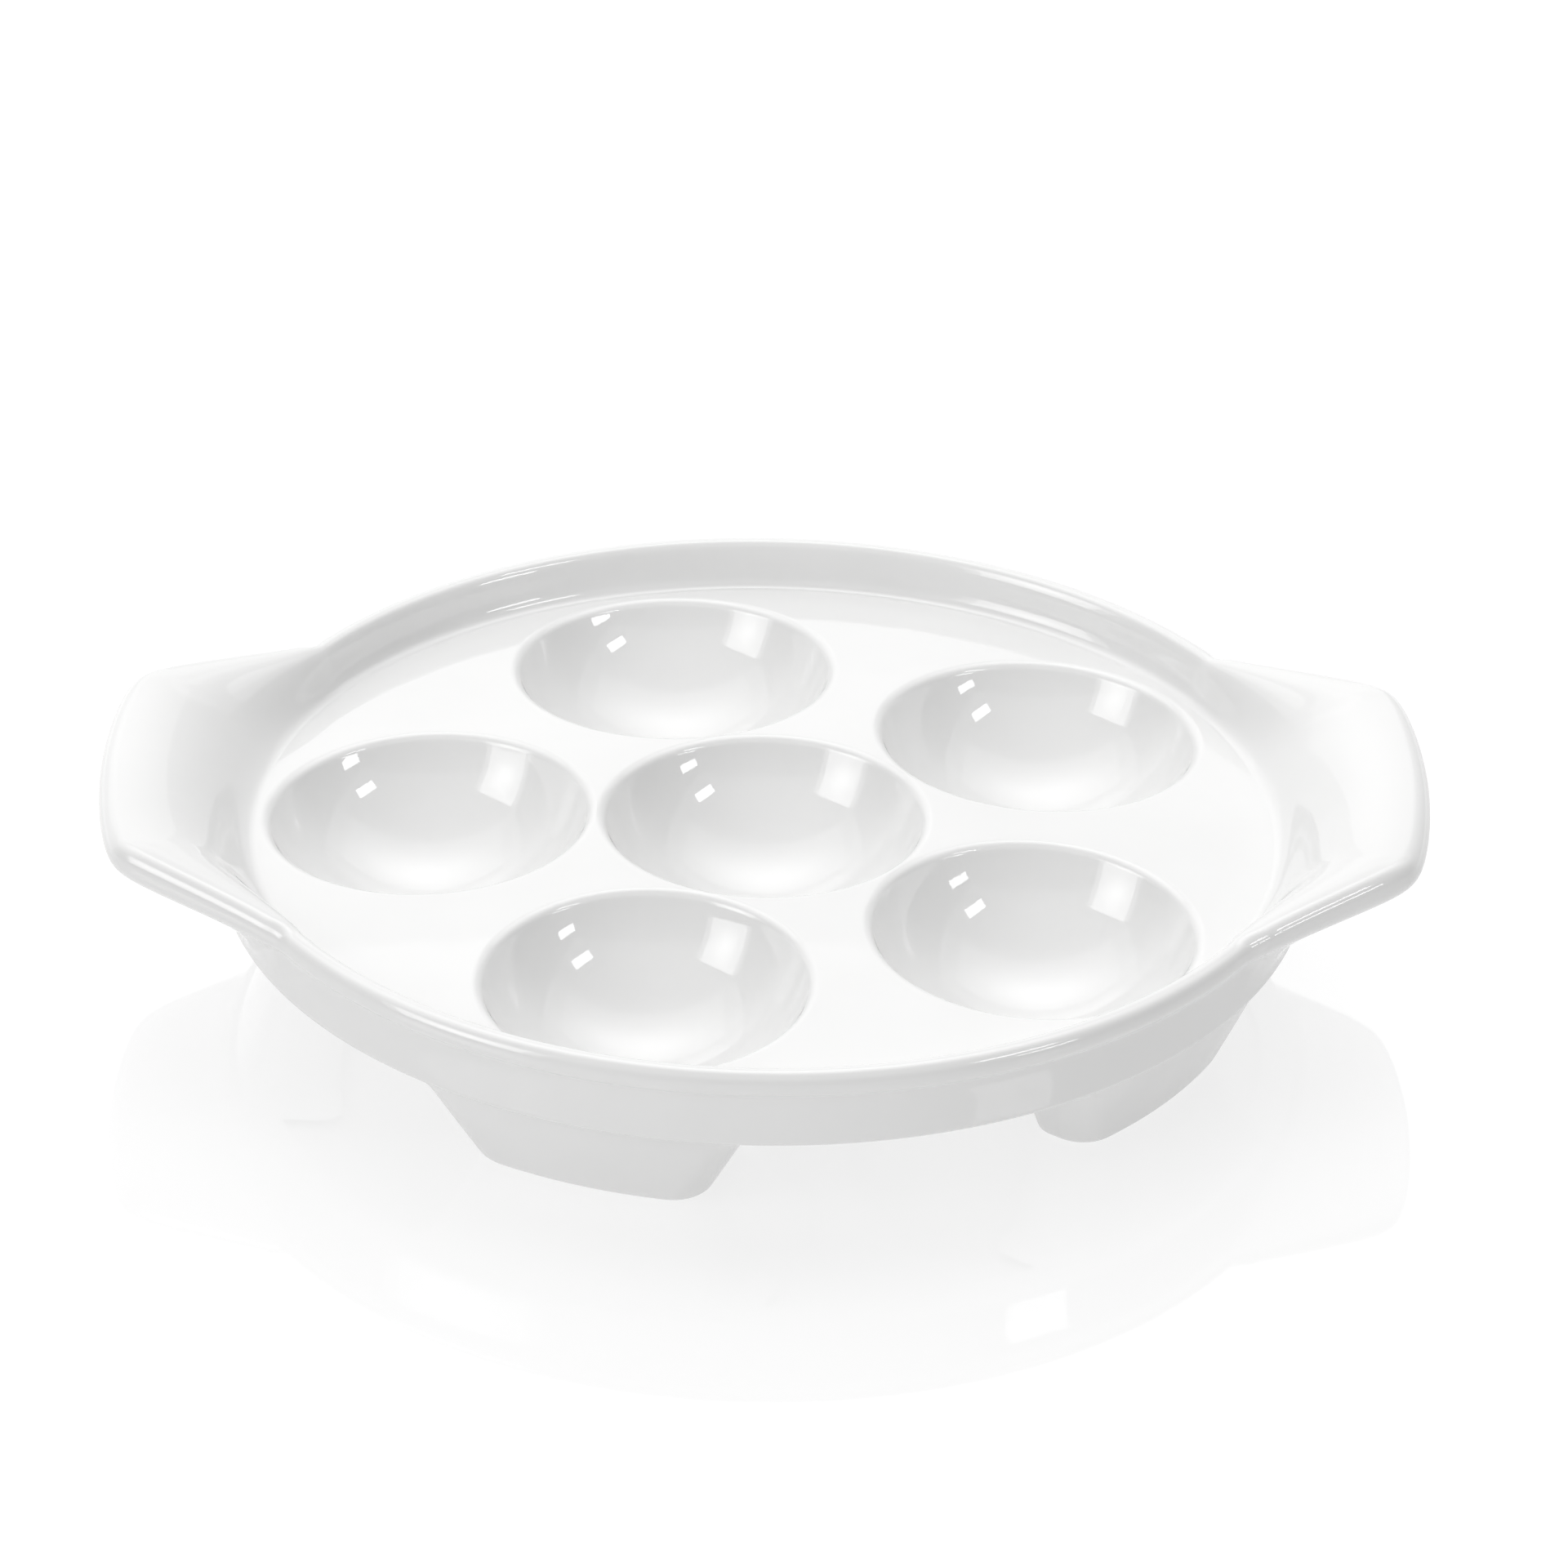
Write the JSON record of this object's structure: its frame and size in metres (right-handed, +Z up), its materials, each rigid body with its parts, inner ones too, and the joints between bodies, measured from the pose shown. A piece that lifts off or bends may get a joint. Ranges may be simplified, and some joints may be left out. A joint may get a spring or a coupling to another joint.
{
  "type": "egg holder tray",
  "caption": "Footed white porcelain tray with round wells in a domed deck, a rolled rim and two ear handles, for holding or baking eggs.",
  "frame": {"origin": "on the table under the middle of the centre well, at the level of the soles of the feet", "axes": "+Z up out of the wells; X along the line through the two handles, +X towards the handle that has no well beside it; -Y towards the front of the dish"},
  "size_m": [0.1656, 0.139, 0.0271],
  "materials": {
    "glaze": "gloss"
  },
  "bodies": {
    "root": {"deck": "glaze", "rim_back": "glaze", "rim_front": "glaze", "handle_left": "glaze", "handle_right": "glaze", "well_centre": "glaze", "well_left": "glaze", "well_back_left": "glaze", "well_back_right": "glaze", "well_front_right": "glaze", "well_front_left": "glaze", "foot_left": "glaze", "foot_back_left": "glaze", "foot_back_right": "glaze", "foot_front_right": "glaze", "foot_front_left": "glaze"}
  },
  "joints": []
}
